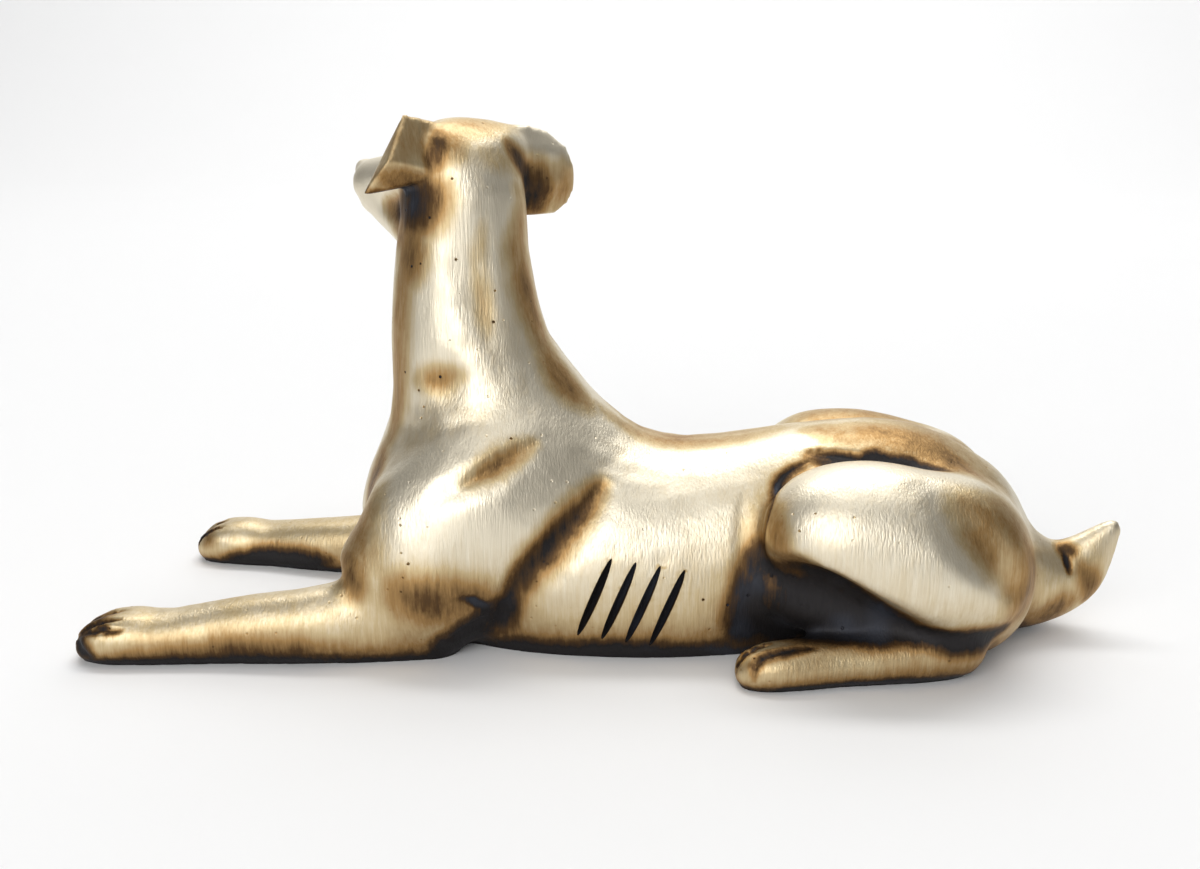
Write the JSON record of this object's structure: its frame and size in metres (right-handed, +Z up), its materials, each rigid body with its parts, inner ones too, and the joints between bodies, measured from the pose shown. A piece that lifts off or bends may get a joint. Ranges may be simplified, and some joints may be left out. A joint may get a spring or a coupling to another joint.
{
  "type": "dog statue",
  "caption": "Cast brass statue of a lean hound lying with its forelegs stretched out and its head turned back, resting on its flat underside.",
  "frame": {"origin": "middle of the bounding box in plan, on the plane of the flat underside", "axes": "+Z up, -X towards the forepaws and chest, +X towards the tail, -Y the hound's left side, which is the side pictured"},
  "size_m": [0.3, 0.1032, 0.1499],
  "materials": {
    "brass": "satin antique, sanded high places and dark patina in the hollows"
  },
  "bodies": {
    "root": {"dog": "brass"}
  },
  "joints": []
}
